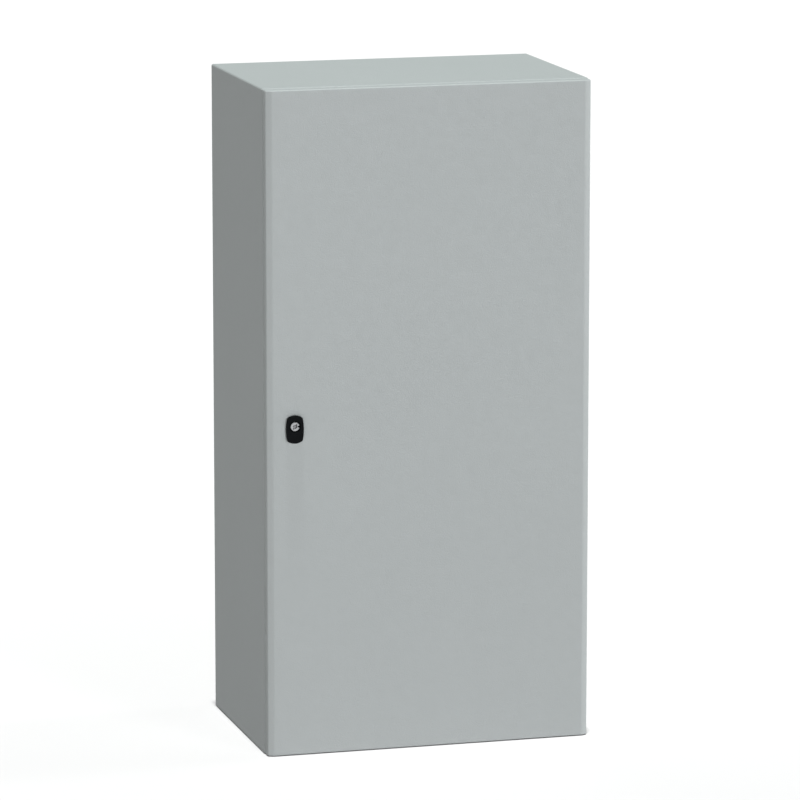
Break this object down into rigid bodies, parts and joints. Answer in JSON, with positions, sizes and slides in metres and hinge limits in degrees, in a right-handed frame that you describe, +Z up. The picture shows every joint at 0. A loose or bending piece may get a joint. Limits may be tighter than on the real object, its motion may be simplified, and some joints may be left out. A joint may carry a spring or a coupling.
{
  "type": "switchboard cabinet",
  "caption": "Steel switchboard cabinet with a hinged plain door, a double-bar lock that drives two lock rods, a mounting plate and a cable entry plate.",
  "frame": {"origin": "bottom centre of the whole object's box, on the surface it stands on, door closed", "axes": "+X to the right as seen from the front, +Y to the back, so the door faces -Y, +Z up"},
  "size_m": [0.6, 0.405, 1.2],
  "materials": {
    "powder_coat": "light grey powder coat, fine orange-peel texture",
    "zinc_plated": "zinc-plated steel",
    "galvanised": "hot-dip galvanised sheet with soft spangle",
    "black_plastic": "fine-grained black moulding",
    "plated_zamak": "satin plated die casting",
    "seal_foam": "foamed polyurethane seal",
    "nylon": "moulded nylon"
  },
  "bodies": {
    "cabinet": {"body_earth_nut": "zinc_plated", "body_earth_stud": "zinc_plated", "body_shell": "powder_coat", "gland_gasket": "seal_foam", "gland_plate": "powder_coat", "gland_screw_1": "zinc_plated", "gland_screw_2": "zinc_plated", "gland_screw_3": "zinc_plated", "gland_screw_4": "zinc_plated", "gland_screw_5": "zinc_plated", "gland_screw_6": "zinc_plated", "hinge_bracket_1": "powder_coat", "hinge_bracket_2": "powder_coat", "hinge_bracket_3": "powder_coat", "hinge_pin_1": "zinc_plated", "hinge_pin_2": "zinc_plated", "hinge_pin_3": "zinc_plated", "mounting_nut_1": "zinc_plated", "mounting_nut_2": "zinc_plated", "mounting_nut_3": "zinc_plated", "mounting_nut_4": "zinc_plated", "mounting_plate": "galvanised", "mounting_stud_1": "zinc_plated", "mounting_stud_2": "zinc_plated", "mounting_stud_3": "zinc_plated", "mounting_stud_4": "zinc_plated", "wall_plug_1": "nylon", "wall_plug_2": "nylon", "wall_plug_3": "nylon", "wall_plug_4": "nylon"},
    "door": {"door_earth_nut": "zinc_plated", "door_earth_stud": "zinc_plated", "door_gasket": "seal_foam", "door_panel": "powder_coat", "door_stiffener_left": "powder_coat", "door_stiffener_right": "powder_coat", "hinge_leaf_1": "powder_coat", "hinge_leaf_2": "powder_coat", "hinge_leaf_3": "powder_coat", "lock_bezel": "black_plastic", "lock_case": "black_plastic", "lock_cover": "zinc_plated", "lock_cover_screw_1": "zinc_plated", "lock_cover_screw_2": "zinc_plated", "lock_ring_nut": "zinc_plated", "lower_rod_guide_1": "nylon", "lower_rod_guide_2": "nylon", "upper_rod_guide_1": "nylon", "upper_rod_guide_2": "nylon"},
    "lock_rotor": {"lock_insert": "plated_zamak", "lock_pinion": "zinc_plated", "lock_cam": "zinc_plated", "lock_cam_screw": "zinc_plated"},
    "upper_rod": {"upper_rod": "zinc_plated", "upper_rod_tip": "nylon"},
    "lower_rod": {"lower_rod": "zinc_plated", "lower_rod_tip": "nylon"}
  },
  "joints": [
    {"name": "door_hinge", "type": "hinge", "parent": "cabinet", "child": "door", "pos_m": [0.2915, -0.1875, 0], "axis": [0, 0, 1], "range_deg": [0, 120]},
    {"name": "lock_turn", "type": "hinge", "parent": "door", "child": "lock_rotor", "pos_m": [-0.2485, -0.1975, 0.6], "axis": [0, 1, 0], "range_deg": [0, 90]},
    {"name": "upper_rod_slide", "type": "slide", "parent": "door", "child": "upper_rod", "axis": [0, 0, 1], "range_m": [0, 0.01499]},
    {"name": "lower_rod_slide", "type": "slide", "parent": "door", "child": "lower_rod", "axis": [0, 0, -1], "range_m": [0, 0.015]}
  ],
  "couplings": [
    {"joint": "lock_turn", "follows": "upper_rod_slide", "rad_per_m": 104.72},
    {"joint": "lower_rod_slide", "follows": "upper_rod_slide", "ratio": 1}
  ]
}
